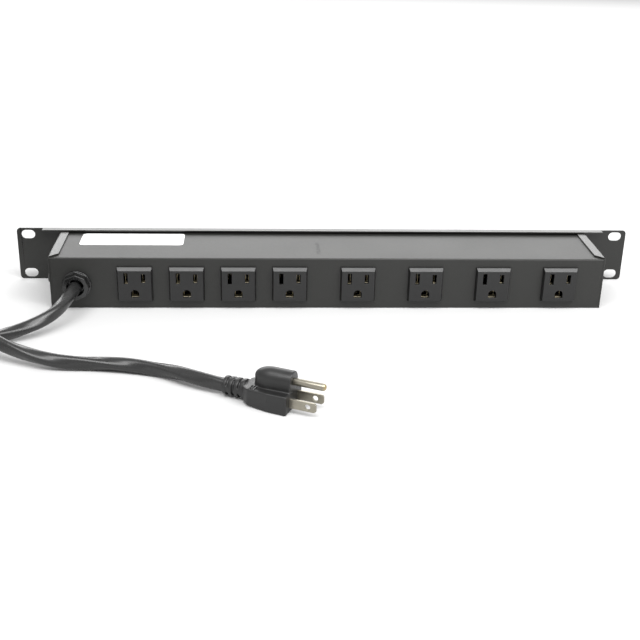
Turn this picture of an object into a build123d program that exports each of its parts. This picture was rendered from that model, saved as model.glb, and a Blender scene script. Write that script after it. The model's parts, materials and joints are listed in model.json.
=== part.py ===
from build123d import *
import math
import os

# Rack power strip, one rack unit high, with eight grounded outlets on its rear wall.
# Millimetres. X runs along the strip, +Y points out of the front panel and +Z up.
# The origin is under the middle of the strip's own footprint, on the surface that it stands on.

# --- sheet metal ---
SHEET = 1.2
PANEL_W = 482.6
PANEL_H = 42.0
PANEL_CORNER_R = 3.0
LIP_W = 442.0
LIP_L = 6.0
SLOT_PITCH_X = 465.1
SLOT_PITCH_Z = 31.75
SLOT_L = 10.4
SLOT_H = 6.9
CASE_W = 413.4
CASE_D = 60.5
FLANGE_W = 6.8
FLANGE_CHAMFER = 6.2
TAB_W = 13.0
SEAM_GAP = 0.2
FOLD_R = 1.1

# --- outlets ---
OUTLET_PITCH_LEFT = 38.1
OUTLET_PITCH_RIGHT = 50.8
OUTLETS_LEFT = 4
OUTLETS_RIGHT = 4
LAST_LEFT_X = -30.1
SLOT_ROW_Z = 24.6
FACE_W = 24.2
FACE_H = 24.8
FACE_OUT = 3.5
FACE_DRAFT = 1.15
FACE_BEVEL = 1.45
FACE_WALL = 2.2
FACE_BELOW_GROUND = 5.4
SHELL_WIDER = 0.2
SHELL_D = 20.0
SHELL_GAP = 0.15
SNAP_OUT = 0.9
BLADE_PITCH = 12.7
GROUND_DROP = 11.9
BLADE_SLOT_W = 3.0
NEUTRAL_SLOT_H = 8.6
LINE_SLOT_H = 7.1
GROUND_HOLE = 6.0
POCKET_W = 6.4
POCKET_H = 9.2
GROUND_POCKET_W = 9.0
GROUND_POCKET_H = 7.6
CAP_T = 1.5

# --- brass inside the outlets ---
BRASS_T = 0.6
BLADE_GRIP = 1.5
GROUND_GRIP = 4.5
CONTACT_FRONT_GAP = 0.3
LEAF_SETBACK = 5.0
TAIL_GAP = 0.15
TAIL_L = 4.0
TAIL_W = 4.0
BUS_T = 0.8
BUS_W = 4.0
BUS_LEFT_X = (-160.0, -154.0, -148.0)
NEUTRAL, LINE, GROUND = range(3)

# --- cord bushing ---
CORD_D = 9.5
GLAND_X = -187.0
GLAND_Z = 19.0
GLAND_FLANGE_RIM = 1.1
GLAND_FLANGE_T = 2.2
GLAND_OUT = 8.0
GLAND_FLARE = 0.8
GLAND_SIDES = 8
GLAND_LIP = 7.2
GLAND_MOUTH_ROOM = 2.9
GLAND_MOUTH_L = 5.4
GLAND_BARREL_WALL = 3.25
GLAND_BARREL_L = 10.0
GLAND_HOLE_GAP = 0.15
WEDGE_TOP = -2.2
JACKET_PAST_BARREL = 1.0
CORD_STRAIGHT = 5.9

# --- front panel controls ---
SWITCH_X = -176.0
SWITCH_CUT_W = 22.0
SWITCH_CUT_H = 30.0
SWITCH_GAP = 0.2
SWITCH_BODY_D = 25.0
BEZEL_W = 25.0
BEZEL_H = 33.0
BEZEL_T = 2.0
WELL_W = 17.0
WELL_H = 25.0
WELL_D = 14.0
ROCKER_GAP = 0.35
ROCKER_END_GAP = 0.9
ROCKER_EDGE = 0.8
ROCKER_TILT = 9.0
PIVOT_DEPTH = 3.0
PIVOT_D = 3.0
PIVOT_GAP = 0.08
PIVOT_REACH = 1.7
PIVOT_END_GAP = 0.2
BREAKER_X = -128.0
BREAKER_W = 14.0
BREAKER_H = 30.0
BREAKER_D = 24.0
NECK_D = 9.5
NECK_OUT = 5.5
NECK_GAP = 0.25
BUTTON_D = 6.4
BUTTON_OUT = 3.0
BUTTON_GAP = 0.1
BUTTON_L = 11.0
BREAKER_NUT_AF = 14.0
BREAKER_NUT_T = 3.0
TAB_T = 0.8
SWITCH_TAB_W = 6.3
SWITCH_TAB_L = 9.0
SWITCH_TAB_Z = 8.0
BREAKER_TAB_W = 4.8
BREAKER_TAB_L = 7.0
BREAKER_TAB_Z = 6.0

# --- fasteners ---
SCREW_D = 3.5
SCREW_HOLE_GAP = 0.15
SCREW_HEAD_D = 7.0
SCREW_HEAD_H = 2.0
SCREW_L = 6.0
RECESS_W = 1.0
RECESS_L = 3.6
PANEL_SCREW_Z = 12.0
SIDE_SCREW_BACK = 8.0
STUD_X = -172.0
STUD_FROM_REAR = 21.1
STUD_D = 4.0
STUD_L = 8.5
STUD_NUT_AF = 7.0
STUD_NUT_T = 3.2
RING_D = 8.0
RING_T = 0.8
RING_NECK = 5.5
RING_BARREL_D = 4.2
RING_BARREL_L = 6.0

# --- wires inside ---
WIRE_D = 2.8
CONDUCTOR_R = 2.0

# --- label ---
LABEL_W = 78.0
LABEL_H = 25.6
LABEL_T = 0.2
LABEL_CORNER_R = 3.0
LABEL_X = -149.5
LABEL_BACK = 19.3

# --- plug ---
PLUG_TURN = -25.0
RELIEF_START = (-74.1, -170.1)
RELIEF_L = 15.0
RELIEF_OVER_CORD = 1.5
RELIEF_GROWS = 1.0
RELIEF_GROOVES = 3
GROOVE_W = 1.6
GROOVE_DEPTH = 1.0
NECK_L = 5.0
PLUG_BODY_L = 27.0
PLUG_BODY_W = 25.6
PLUG_BODY_H = 13.0
PLUG_CORNER_R = 3.0
PLUG_BARREL_D = 13.2
PLUG_BARREL_L = 26.0
BLADE_W = 6.35
BLADE_T = 1.5
BLADE_L = 17.5
BLADE_HOLE_D = 3.6
BLADE_HOLE_FROM_TIP = 5.6
PIN_D = 4.75
PIN_L = 21.2
PIN_ROOT_D = 4.0
BLADE_ROOT = 4.0

# --- coil ---
COIL_CENTRE = (-324.4, -96.0)
COIL_RADIUS = 57.0
COIL_LAYERS = 2
COIL_EASE = 0.3
COIL_IN_ANGLE = -45.0
COIL_OUT_ANGLE = 35.0
COIL_WHOLE_TURNS = 3
STUB_DIAMETERS = 4
COIL_EDGE_R = 4.0
TIE_T = 1.0
TIE_ANGLE = 190.0
TIE_SPAN = 13.0

# --- what follows from them ---
OVER_CASE = 2 * SHEET
CASE_H = PANEL_H - OVER_CASE
SHELL_W = FACE_W + SHELL_WIDER
SHELL_H = FACE_H + SHELL_WIDER
GLAND_MOUTH_D = CORD_D + GLAND_MOUTH_ROOM
GLAND_BARREL_D = CORD_D + 2 * GLAND_BARREL_WALL
GLAND_TIP_D = GLAND_MOUTH_D + GLAND_LIP
GLAND_BASE_D = GLAND_TIP_D + GLAND_FLARE
GLAND_FLANGE_D = GLAND_BASE_D + GLAND_FLANGE_RIM
RELIEF_D = CORD_D + RELIEF_OVER_CORD
LIE_Z = CORD_D / 2 + 0.05
FRONT_OUT = SHEET + NECK_OUT + BUTTON_OUT
PANEL_Y = (CASE_D + GLAND_OUT - FRONT_OUT) / 2
FRONT_Y = PANEL_Y + SHEET
REAR_Y = PANEL_Y - CASE_D
MID_Z = PANEL_H / 2
CHANNEL_HALF = CASE_W / 2 - SHEET
GROUND_Z = SLOT_ROW_Z - GROUND_DROP
FACE_Z = GROUND_Z - FACE_BELOW_GROUND + FACE_H / 2
SHELL_BACK_Y = REAR_Y + SHELL_D
CAP_BACK_Y = SHELL_BACK_Y + CAP_T
BUS_Y = CAP_BACK_Y + TAIL_L
POCKET_FRONT_Y = REAR_Y - FACE_OUT + FACE_WALL
CONTACT_FRONT_Y = POCKET_FRONT_Y + CONTACT_FRONT_GAP
BARREL_END_Y = REAR_Y + GLAND_BARREL_L
JACKET_END_Y = BARREL_END_Y + JACKET_PAST_BARREL
STUD_Y = REAR_Y + STUD_FROM_REAR
PIVOT_Y = FRONT_Y + BEZEL_T - PIVOT_DEPTH
WELL_BACK_Y = FRONT_Y + BEZEL_T - WELL_D
SWITCH_TAB_Y = PANEL_Y - SWITCH_BODY_D
BREAKER_TAB_Y = PANEL_Y - BREAKER_D
COIL_SIDE = COIL_LAYERS * CORD_D + 2 * COIL_EASE
COIL_OUTER_TURN = COIL_RADIUS + CORD_D / 2
COIL_STUB = STUB_DIAMETERS * CORD_D
COIL_IN_Z = CORD_D / 2
COIL_OUT_Z = TIE_T + COIL_EASE + CORD_D * 3 / 2
PLUG_BACK_L = RELIEF_L + NECK_L + PLUG_BODY_L
PLUG_AXIS_Z = PLUG_BODY_H / 2

OUTLET_X = [LAST_LEFT_X - OUTLET_PITCH_LEFT * i for i in reversed(range(OUTLETS_LEFT))]
OUTLET_X += [LAST_LEFT_X + OUTLET_PITCH_RIGHT * (i + 1) for i in range(OUTLETS_RIGHT)]


def block(x, y, z):
    """A box from its low and high bounds along each axis."""
    sides = [high - low for low, high in (x, y, z)]
    middle = [(low + high) / 2 for low, high in (x, y, z)]
    return Pos(*middle) * Box(*sides)


def around(middle, width):
    return middle - width / 2, middle + width / 2


def rod_x(x, y, z, diameter):
    """A round bar along X between two values of x."""
    bar = Cylinder(diameter / 2, x[1] - x[0])
    return Pos((x[0] + x[1]) / 2, y, z) * Rot(0, 90, 0) * bar


def rod_y(x, y, z, diameter):
    """A round bar along Y between two values of y."""
    bar = Cylinder(diameter / 2, y[1] - y[0])
    return Pos(x, (y[0] + y[1]) / 2, z) * Rot(90, 0, 0) * bar


def rod_z(x, y, z, diameter):
    """A round bar along Z between two values of z."""
    bar = Cylinder(diameter / 2, z[1] - z[0])
    return Pos(x, y, (z[0] + z[1]) / 2) * bar


def plate_y(outline, y):
    """A flat outline, drawn in x and z, given thickness between two values of y."""
    face = Plane((0, y[1], 0), x_dir=(1, 0, 0), z_dir=(0, -1, 0)) * outline
    return extrude(face, y[1] - y[0])


def plate_z(outline, z):
    """A flat outline, drawn in x and y, given thickness between two values of z."""
    return extrude(Pos(0, 0, z[0]) * outline, z[1] - z[0])


def on_plan(point, heading, length):
    """The point a length further on along a heading in degrees, at the same height."""
    turn = math.radians(heading)
    return (point[0] + length * math.cos(turn), point[1] + length * math.sin(turn), point[2])


def corner_radii(points):
    """The radius of the arc at each inner point of a route."""
    spots = [Vector(p) for p in points]
    radii = []
    for before, here, after in zip(spots, spots[1:], spots[2:]):
        run_in, run_out = here - before, after - here
        half_turn = math.radians(run_in.get_angle(run_out) / 2)
        radii.append(0.45 * min(run_in.length, run_out.length) / math.tan(half_turn))
    return radii


def tube(points, diameter):
    """A round tube along straight runs joined by tangent arcs."""
    path = FilletPolyline(*points, radius=corner_radii(points))
    start = Plane(path @ 0, z_dir=path % 0)
    return sweep(start * Circle(diameter / 2), path), path.length


def group(pieces):
    """Separate solids kept side by side in one node."""
    return Compound(children=[solid for piece in pieces for solid in piece.solids()])


# ---------------------------------------------------------------- sheet metal


def front_panel():
    outline = RectangleRounded(PANEL_W, PANEL_H, PANEL_CORNER_R)
    slots = GridLocations(SLOT_PITCH_X, SLOT_PITCH_Z, 2, 2) * SlotOverall(SLOT_L, SLOT_H)
    panel = Pos(0, 0, MID_Z) * plate_y(outline - slots, (PANEL_Y, FRONT_Y))
    panel += block(around(0, LIP_W), (FRONT_Y - LIP_L, PANEL_Y), (PANEL_H - SHEET, PANEL_H))
    panel -= block(around(SWITCH_X, SWITCH_CUT_W), (PANEL_Y, FRONT_Y), around(MID_Z, SWITCH_CUT_H))
    panel -= rod_y(BREAKER_X, (PANEL_Y, FRONT_Y), MID_Z, NECK_D + 2 * NECK_GAP)
    for x, z in panel_screw_spots():
        panel -= rod_y(x, (PANEL_Y, FRONT_Y), z, SCREW_D + 2 * SCREW_HOLE_GAP)
    return panel


def panel_screw_spots():
    x = CHANNEL_HALF - TAB_W / 2
    return [(side * x, MID_Z + up * PANEL_SCREW_Z) for side in (-1, 1) for up in (-1, 1)]


def housing():
    """Top, rear and bottom walls in one folded sheet, with tabs for the end plates' screws."""
    whole = block((-CHANNEL_HALF, CHANNEL_HALF), (REAR_Y, PANEL_Y), (0, CASE_H))
    edges = whole.edges().filter_by(Axis.X).group_by(Axis.Y)[0]
    shell = fillet(edges, FOLD_R)
    shell -= block((-CHANNEL_HALF, CHANNEL_HALF), (REAR_Y + SHEET, PANEL_Y), (SHEET, CASE_H - SHEET))
    for side in (-1, 1):
        tab_x = sorted((side * CHANNEL_HALF, side * (CHANNEL_HALF - SHEET)))
        tab_y = (REAR_Y + SHEET, REAR_Y + SIDE_SCREW_BACK + SCREW_HEAD_D / 2)
        shell += block(tab_x, tab_y, around(MID_Z, TAB_W))
        hole = sorted((side * CHANNEL_HALF, side * (CHANNEL_HALF - SHEET)))
        shell -= rod_x(hole, REAR_Y + SIDE_SCREW_BACK, MID_Z, SCREW_D + 2 * SCREW_HOLE_GAP)
    for x in OUTLET_X:
        cut_w, cut_h = SHELL_W + 2 * SHELL_GAP, SHELL_H + 2 * SHELL_GAP
        shell -= block(around(x, cut_w), (REAR_Y, REAR_Y + SHEET), around(FACE_Z, cut_h))
    hole_d = GLAND_BARREL_D + 2 * GLAND_HOLE_GAP
    shell -= rod_y(GLAND_X, (REAR_Y, REAR_Y + SHEET), GLAND_Z, hole_d)
    shell -= rod_z(STUD_X, STUD_Y, (0, SHEET), STUD_D)
    return shell


def end_plate(side):
    """A side wall with a flange over the top wall and two tabs behind the front panel."""
    outer, inner = side * CASE_W / 2, side * CHANNEL_HALF
    wall_x = sorted((outer, inner))
    plate = block(wall_x, (REAR_Y, PANEL_Y), (0, CASE_H))
    flange_in = side * (CASE_W / 2 - FLANGE_W)
    flange = block(sorted((outer, flange_in)), (REAR_Y, PANEL_Y), (CASE_H, CASE_H + SHEET))
    corner = flange.edges().filter_by(Axis.Z).group_by(Axis.Y)[0].sort_by(Axis.X)
    flange = chamfer(corner[0] if side > 0 else corner[-1], FLANGE_CHAMFER)
    plate += flange
    fold = plate.edges().filter_by(Axis.Y).group_by(Axis.Z)[-1].sort_by(Axis.X)
    plate = fillet(fold[-1] if side > 0 else fold[0], FOLD_R)
    tab_x = sorted((outer, side * (CHANNEL_HALF - TAB_W)))
    tab_z = (SHEET + SEAM_GAP, CASE_H - SHEET - SEAM_GAP)
    plate += block(tab_x, (PANEL_Y - SHEET, PANEL_Y), tab_z)
    plate -= rod_x(wall_x, REAR_Y + SIDE_SCREW_BACK, MID_Z, SCREW_D + 2 * SCREW_HOLE_GAP)
    for x, z in panel_screw_spots():
        plate -= rod_y(x, (PANEL_Y - SHEET, PANEL_Y), z, SCREW_D)
    return plate


def pan_screw():
    """A pan-head screw along Z, its head above z = 0 and its shank below."""
    head = Pos(0, 0, SCREW_HEAD_H / 2) * Cylinder(SCREW_HEAD_D / 2, SCREW_HEAD_H)
    head = fillet(head.edges().group_by(Axis.Z)[-1], SCREW_HEAD_H * 0.6)
    shank = Pos(0, 0, -SCREW_L / 2) * Cylinder(SCREW_D / 2, SCREW_L)
    cross = Box(RECESS_L, RECESS_W, SCREW_HEAD_H) + Box(RECESS_W, RECESS_L, SCREW_HEAD_H)
    return head + shank - Pos(0, 0, SCREW_HEAD_H) * cross


def panel_screws():
    screw = pan_screw()
    return group([Pos(x, FRONT_Y, z) * Rot(-90, 0, 0) * screw for x, z in panel_screw_spots()])


def side_screws():
    screw = pan_screw()
    y = REAR_Y + SIDE_SCREW_BACK
    return group([Pos(side * CASE_W / 2, y, MID_Z) * Rot(0, side * 90, 0) * screw for side in (-1, 1)])


def label():
    outline = RectangleRounded(LABEL_W, LABEL_H, LABEL_CORNER_R)
    place = Pos(LABEL_X, PANEL_Y - LABEL_BACK)
    return plate_z(place * outline, (CASE_H, CASE_H + LABEL_T))


# -------------------------------------------------------------------- outlets


def blade_pocket(x, side):
    middle = x + side * BLADE_PITCH / 2
    return around(middle, POCKET_W), around(SLOT_ROW_Z, POCKET_H)


def ground_pocket(x):
    return around(x, GROUND_POCKET_W), around(GROUND_Z, GROUND_POCKET_H)


def receptacle(x):
    """One snap-in outlet: a drafted face with a bevelled top, its slots, and the shell behind."""
    wide, high = FACE_W + 2 * FACE_DRAFT, FACE_H + 2 * FACE_DRAFT
    base = Pos(x, REAR_Y, FACE_Z) * Rot(90, 0, 0) * Rectangle(wide, high)
    face = extrude(base, FACE_OUT, taper=math.degrees(math.atan(FACE_DRAFT / FACE_OUT)))
    over_bevel = Box(2 * wide, 2 * high, high, align=(Align.CENTER, Align.CENTER, Align.MIN))
    face -= Pos(x, REAR_Y - FACE_OUT, FACE_Z + FACE_H / 2 - FACE_BEVEL) * Rot(45, 0, 0) * over_bevel
    body = face + block(around(x, SHELL_W), (REAR_Y, SHELL_BACK_Y), around(FACE_Z, SHELL_H))
    for side in (-1, 1):
        ear_x = sorted((x + side * SHELL_W / 2, x + side * (SHELL_W / 2 + SNAP_OUT)))
        body += block(ear_x, (REAR_Y + SHEET, REAR_Y + SHEET + 3 * SNAP_OUT), around(FACE_Z, TAIL_W))
    inside_y = (POCKET_FRONT_Y, SHELL_BACK_Y)
    through_y = (REAR_Y - FACE_OUT, POCKET_FRONT_Y)
    for side, slot_h in ((-1, NEUTRAL_SLOT_H), (1, LINE_SLOT_H)):
        pocket_x, pocket_z = blade_pocket(x, side)
        body -= block(pocket_x, inside_y, pocket_z)
        slot_x = around(x + side * BLADE_PITCH / 2, BLADE_SLOT_W)
        body -= block(slot_x, through_y, around(SLOT_ROW_Z, slot_h))
    pocket_x, pocket_z = ground_pocket(x)
    body -= block(pocket_x, inside_y, pocket_z)
    body -= rod_y(x, through_y, GROUND_Z, GROUND_HOLE)
    body -= block(around(x, GROUND_HOLE), through_y, (GROUND_Z - GROUND_HOLE / 2, GROUND_Z))
    return body


def tail_spots(x):
    """Middle x and z range of the neutral, line and ground tails of one outlet."""
    top = SLOT_ROW_Z + POCKET_H / 2
    low = SLOT_ROW_Z - POCKET_H / 2
    return [
        (x - BLADE_PITCH / 2, (top - TAIL_W, top)),
        (x + BLADE_PITCH / 2, (low, low + TAIL_W)),
        (x, around(GROUND_Z, TAIL_W)),
    ]


def receptacle_cap(x):
    cap = block(around(x, SHELL_W), (SHELL_BACK_Y, CAP_BACK_Y), around(FACE_Z, SHELL_H))
    for middle, (low, high) in tail_spots(x):
        slit = (low - TAIL_GAP, high + TAIL_GAP)
        cap -= block(around(middle, BRASS_T + 2 * TAIL_GAP), (SHELL_BACK_Y, CAP_BACK_Y), slit)
    return cap


def contact(middle, pocket_x, pocket_z, grip, tail_z, lip_top):
    """Two spring leaves on a back plate, a ledge out to the mouth and a tail through the cap."""
    leaf_z = (pocket_z[0], pocket_z[1] - SEAM_GAP)
    leaf_front = CONTACT_FRONT_Y + LEAF_SETBACK
    piece = block(pocket_x, (SHELL_BACK_Y - BRASS_T, SHELL_BACK_Y), leaf_z)
    for side in (-1, 1):
        leaf_x = sorted((middle + side * grip / 2, middle + side * (grip / 2 + BRASS_T)))
        piece += block(leaf_x, (leaf_front, SHELL_BACK_Y), leaf_z)
    ledge_x = around(middle, grip + 2 * BRASS_T)
    piece += block(ledge_x, (CONTACT_FRONT_Y, leaf_front + BRASS_T), (pocket_z[0], lip_top))
    piece += block(around(middle, BRASS_T), (SHELL_BACK_Y - BRASS_T, BUS_Y), tail_z)
    return piece


def contacts(pole):
    """The eight contacts of one pole."""
    made = []
    for x in OUTLET_X:
        middle, tail_z = tail_spots(x)[pole]
        if pole == GROUND:
            pocket_x, pocket_z = ground_pocket(x)
            lip_top = GROUND_Z - GROUND_HOLE / 2
            made.append(contact(middle, pocket_x, pocket_z, GROUND_GRIP, tail_z, lip_top))
        else:
            pocket_x, pocket_z = blade_pocket(x, -1 if pole == NEUTRAL else 1)
            slot_h = NEUTRAL_SLOT_H if pole == NEUTRAL else LINE_SLOT_H
            lip_top = SLOT_ROW_Z - slot_h / 2
            made.append(contact(middle, pocket_x, pocket_z, BLADE_GRIP, tail_z, lip_top))
    return group(made)


def bus(pole):
    """A brass strip along the tails of one pole."""
    tail_z = tail_spots(0)[pole][1]
    right = tail_spots(OUTLET_X[-1])[pole][0] + BUS_W
    return block((BUS_LEFT_X[pole], right), (BUS_Y, BUS_Y + BUS_T), around(sum(tail_z) / 2, BUS_W))


def bus_end(pole):
    tail_z = tail_spots(0)[pole][1]
    return (BUS_LEFT_X[pole], BUS_Y + BUS_T / 2, sum(tail_z) / 2)


# --------------------------------------------------------------- cord bushing


def gland_body():
    """A flanged bushing with a faceted head, a wide mouth and an open-sided barrel."""
    flange = rod_y(GLAND_X, (REAR_Y - GLAND_FLANGE_T, REAR_Y), GLAND_Z, GLAND_FLANGE_D)
    base = RegularPolygon(GLAND_BASE_D / 2, GLAND_SIDES)
    tip = RegularPolygon(GLAND_TIP_D / 2, GLAND_SIDES)
    low = Pos(GLAND_X, REAR_Y - GLAND_FLANGE_T, GLAND_Z) * Rot(90, 0, 0) * base
    high = Pos(GLAND_X, REAR_Y - GLAND_OUT, GLAND_Z) * Rot(90, 0, 0) * tip
    head = loft([low, high])
    barrel = rod_y(GLAND_X, (REAR_Y, BARREL_END_Y), GLAND_Z, GLAND_BARREL_D)
    body = flange + head + barrel
    body -= rod_y(GLAND_X, (REAR_Y - GLAND_OUT, BARREL_END_Y), GLAND_Z, CORD_D)
    mouth = (REAR_Y - GLAND_OUT, REAR_Y - GLAND_OUT + GLAND_MOUTH_L)
    body -= rod_y(GLAND_X, mouth, GLAND_Z, GLAND_MOUTH_D)
    return body - wedge_space()


def wedge_space():
    """The lower part of the barrel, inside the wall, that the wedge fills."""
    z = (GLAND_Z - GLAND_BARREL_D / 2, GLAND_Z + WEDGE_TOP)
    return block(around(GLAND_X, GLAND_BARREL_D), (REAR_Y + SHEET, BARREL_END_Y), z)


def gland_wedge():
    barrel = rod_y(GLAND_X, (REAR_Y + SHEET, BARREL_END_Y), GLAND_Z, GLAND_BARREL_D)
    barrel -= rod_y(GLAND_X, (REAR_Y + SHEET, BARREL_END_Y), GLAND_Z, CORD_D)
    return barrel & wedge_space()


# ------------------------------------------------------- switch and breaker


def switch_body():
    wide, high = SWITCH_CUT_W - 2 * SWITCH_GAP, SWITCH_CUT_H - 2 * SWITCH_GAP
    front = FRONT_Y + BEZEL_T
    body = block(around(SWITCH_X, wide), (PANEL_Y - SWITCH_BODY_D, FRONT_Y), around(MID_Z, high))
    body += block(around(SWITCH_X, BEZEL_W), (FRONT_Y, front), around(MID_Z, BEZEL_H))
    body = chamfer(body.faces().sort_by(Axis.Y)[-1].edges(), BEZEL_T / 2)
    body -= block(around(SWITCH_X, WELL_W), (WELL_BACK_Y, front), around(MID_Z, WELL_H))
    pivot_x = around(SWITCH_X, WELL_W + 2 * PIVOT_REACH)
    return body - rod_x(pivot_x, PIVOT_Y, MID_Z, PIVOT_D + 2 * PIVOT_GAP)


def switch_rocker():
    """A shallow V of two pads on a stem, tipped to its upper stop, with its pivot pins."""
    half = WELL_H / 2 - ROCKER_END_GAP
    rise = half * math.tan(math.radians(ROCKER_TILT))
    under = half - ROCKER_EDGE
    outline = Polyline(
        (0, 0), (rise, half), (-PIVOT_D, under), (-2 * PIVOT_D, PIVOT_D),
        (-2 * PIVOT_D, -PIVOT_D), (-PIVOT_D, -under), (rise, -half), close=True,
    )
    side_view = Plane((0, 0, 0), x_dir=(0, 1, 0), z_dir=(1, 0, 0)) * make_face(outline)
    pad_w = WELL_W - 2 * ROCKER_GAP
    pad = Pos(-pad_w / 2, PIVOT_DEPTH, 0) * extrude(side_view, pad_w)
    pins = rod_x(around(0, WELL_W + 2 * (PIVOT_REACH - PIVOT_END_GAP)), 0, 0, PIVOT_D)
    return Pos(SWITCH_X, PIVOT_Y, MID_Z) * Rot(ROCKER_TILT, 0, 0) * (pad + pins)


def breaker_body():
    body = block(around(BREAKER_X, BREAKER_W), (PANEL_Y - BREAKER_D, PANEL_Y), around(MID_Z, BREAKER_H))
    neck_end = FRONT_Y + NECK_OUT
    body += rod_y(BREAKER_X, (PANEL_Y, neck_end), MID_Z, NECK_D)
    bore = (neck_end + BUTTON_OUT - BUTTON_L - NECK_GAP, neck_end)
    return body - rod_y(BREAKER_X, bore, MID_Z, BUTTON_D + 2 * BUTTON_GAP)


def breaker_nut():
    outline = RegularPolygon(BREAKER_NUT_AF / 2, 6, major_radius=False)
    nut = Pos(BREAKER_X, 0, MID_Z) * plate_y(outline, (FRONT_Y, FRONT_Y + BREAKER_NUT_T))
    return nut - rod_y(BREAKER_X, (FRONT_Y, FRONT_Y + BREAKER_NUT_T), MID_Z, NECK_D)


def breaker_button():
    tip = FRONT_Y + NECK_OUT + BUTTON_OUT
    button = rod_y(BREAKER_X, (tip - BUTTON_L, tip), MID_Z, BUTTON_D)
    return fillet(button.edges().group_by(Axis.Y)[-1], 0.8)


def tabs(x, end_y, length, width, offset):
    """Two flat terminal tabs behind a control."""
    made = [
        block(around(x, TAB_T), (end_y - length, end_y), around(MID_Z + up * offset, width))
        for up in (-1, 1)
    ]
    return group(made)


# ------------------------------------------------------------ ground terminal


def ground_stud():
    return rod_z(STUD_X, STUD_Y, (0, STUD_L), STUD_D)


def ground_nut():
    outline = Pos(STUD_X, STUD_Y) * RegularPolygon(STUD_NUT_AF / 2, 6, major_radius=False)
    z = SHEET + 2 * RING_T
    nut = plate_z(outline, (z, z + STUD_NUT_T))
    return nut - rod_z(STUD_X, STUD_Y, (z, z + STUD_NUT_T), STUD_D)


def ring_terminal(side, level):
    """An eye on the stud and a crimped barrel that points to one side."""
    z = (SHEET + level * RING_T, SHEET + (level + 1) * RING_T)
    eye = rod_z(STUD_X, STUD_Y, z, RING_D)
    neck_x = sorted((STUD_X, STUD_X + side * (RING_NECK + RING_BARREL_L)))
    neck = block(neck_x, around(STUD_Y, RING_BARREL_D), z)
    barrel_x = sorted((STUD_X + side * RING_NECK, STUD_X + side * (RING_NECK + RING_BARREL_L)))
    barrel = rod_x(barrel_x, STUD_Y, ring_wire_z(level), RING_BARREL_D)
    return eye + neck + barrel - rod_z(STUD_X, STUD_Y, z, STUD_D)


def ring_wire_z(level):
    return SHEET + level * RING_T + RING_BARREL_D / 2


def ring_wire_start(side, level):
    return (STUD_X + side * (RING_NECK + RING_BARREL_L), STUD_Y, ring_wire_z(level))


# ----------------------------------------------------------------- inner wires


def conductor(angle):
    """Where one conductor leaves the end of the cord's jacket."""
    turn = math.radians(angle)
    x = GLAND_X + CONDUCTOR_R * math.cos(turn)
    return (x, JACKET_END_Y, GLAND_Z + CONDUCTOR_R * math.sin(turn))


def inside(x, depth, z):
    """A point at a depth inside the rear wall's outer face."""
    return (x, REAR_Y + depth, z)


def leads():
    """Every insulated wire inside, by node name."""
    line, neutral, ground = conductor(330), conductor(90), conductor(210)
    low_tab = (SWITCH_X, SWITCH_TAB_Y - SWITCH_TAB_L, MID_Z - SWITCH_TAB_Z)
    high_tab = (SWITCH_X, SWITCH_TAB_Y - SWITCH_TAB_L, MID_Z + SWITCH_TAB_Z)
    breaker_y = BREAKER_TAB_Y - BREAKER_TAB_L / 2
    breaker_top = (BREAKER_X, breaker_y, MID_Z + BREAKER_TAB_Z + BREAKER_TAB_W / 2)
    breaker_low = (BREAKER_X, breaker_y, MID_Z - BREAKER_TAB_Z - BREAKER_TAB_W / 2)
    neutral_end, line_end, ground_end = bus_end(NEUTRAL), bus_end(LINE), bus_end(GROUND)
    ring_in, ring_out = ring_wire_start(-1, 0), ring_wire_start(1, 1)
    routes = {
        "line_lead": [
            line, (line[0], line[1] + 4.5, line[2]), inside(-178.0, 19.1, 13.6),
            (low_tab[0], low_tab[1] - 4.5, low_tab[2]), low_tab,
        ],
        "neutral_lead": [
            neutral, (neutral[0], neutral[1] + 4.0, neutral[2]), inside(-177.0, 21.9, 21.0),
            inside(-169.5, 23.7, 24.0), (neutral_end[0] - 5.0, *neutral_end[1:]), neutral_end,
        ],
        "ground_lead": [
            ground, (ground[0], ground[1] + 4.5, ground[2]), inside(-194.0, 20.3, 11.0),
            (-194.5, ring_in[1], ring_in[2]), ring_in,
        ],
        "switched_lead": [
            high_tab, (high_tab[0], high_tab[1] - 4.5, high_tab[2]), inside(-170.0, 22.1, MID_Z + 13.0),
            inside(-150.0, 28.1, MID_Z + 14.0), (BREAKER_X, breaker_top[1], MID_Z + 14.0), breaker_top,
        ],
        "breaker_lead": [
            breaker_low, (BREAKER_X, breaker_low[1], 7.0), inside(-145.0, 32.6, 5.6),
            inside(-160.0, 31.9, 8.5), inside(-161.5, 27.6, 16.5),
            (line_end[0] - 5.5, *line_end[1:]), line_end,
        ],
        "ground_jumper": [
            ring_out, (ring_out[0] + 6.0, *ring_out[1:]), (-154.0, ground_end[1], 8.0),
            (ground_end[0] - 4.5, *ground_end[1:]), ground_end,
        ],
    }
    return {name: tube(points, WIRE_D)[0] for name, points in routes.items()}


# ------------------------------------------------------------------------ cord


def coil_spot(angle, z):
    """A point on the coil's outer turn and the heading there, turning clockwise from above."""
    turn = math.radians(angle)
    x = COIL_CENTRE[0] + COIL_OUTER_TURN * math.cos(turn)
    y = COIL_CENTRE[1] + COIL_OUTER_TURN * math.sin(turn)
    return (x, y, z), angle - 90


def coil_section(grow):
    """The outline of the wound bundle beside the coil's axis, grown by a thickness."""
    side = COIL_SIDE + 2 * grow
    outline = RectangleRounded(side, side, COIL_EDGE_R + grow)
    place = (*COIL_CENTRE, TIE_T + COIL_SIDE / 2)
    return Plane(place, x_dir=(1, 0, 0), z_dir=(0, -1, 0)) * Pos(COIL_RADIUS, 0) * outline


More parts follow.
